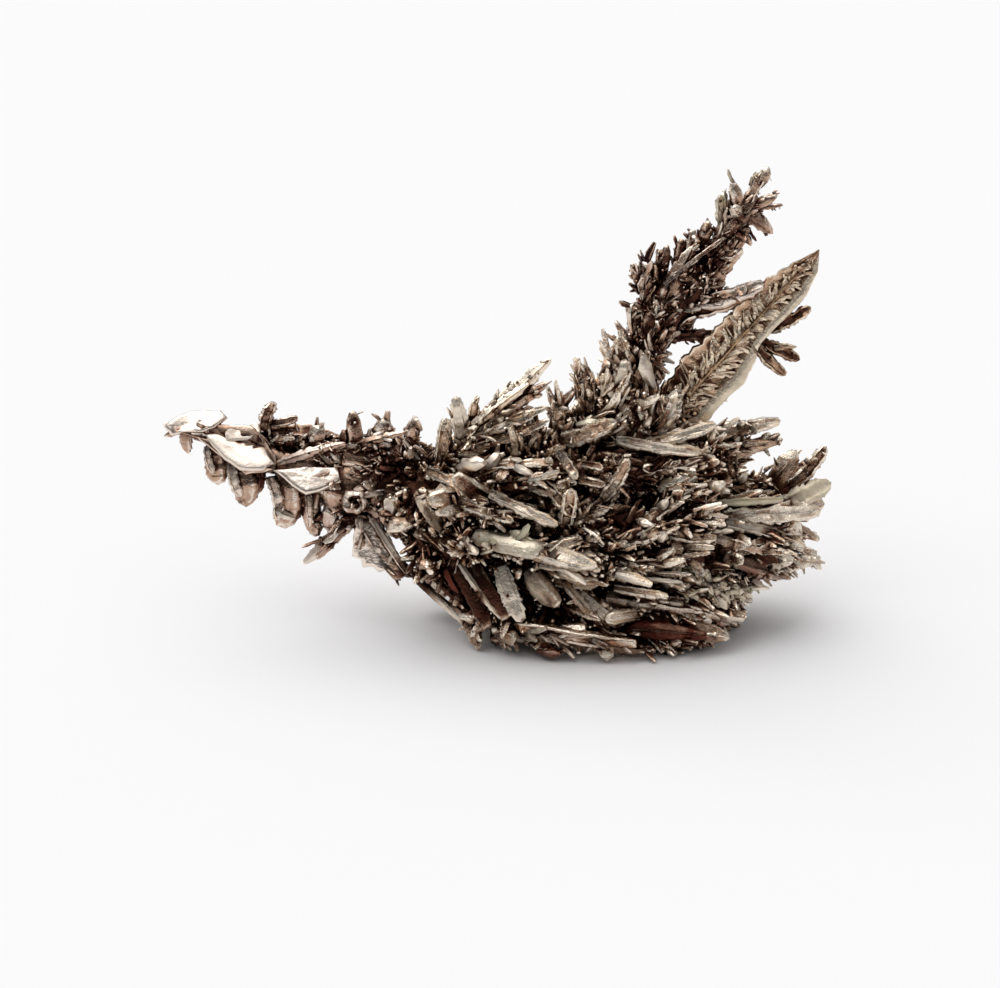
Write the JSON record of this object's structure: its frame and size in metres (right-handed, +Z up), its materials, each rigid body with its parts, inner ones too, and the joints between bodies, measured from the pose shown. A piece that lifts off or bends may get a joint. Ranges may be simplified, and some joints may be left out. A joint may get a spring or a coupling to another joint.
{
  "type": "titanium crystal",
  "caption": "Dendritic crystal of titanium metal: a low matted heart of grown-together laths and bars, with a flat frond, a twig, a dark spire and a fern-like blade forking from it.",
  "frame": {"origin": "on the flat underside that the crystal rests on, under the middle of the heart", "axes": "+X to the viewer's right, towards the right-hand sprays; +Y away from the viewer, to the back; +Z up"},
  "size_m": [0.0492, 0.014, 0.0342],
  "materials": {
    "heart_metal": "bright crystal facets, warm grey, dark in the crevices",
    "frond_metal": "pale, faintly pink silver on flat stepped plates",
    "twig_metal": "pale straw-grey laths with a red-brown inside",
    "spire_metal": "dark brown-grey facets",
    "blade_metal": "tan-grey plate with a herringbone of small scales"
  },
  "bodies": {
    "root": {"heart": "heart_metal", "left_frond": "frond_metal", "top_twig": "twig_metal", "spire": "spire_metal", "blade": "blade_metal"}
  },
  "joints": []
}
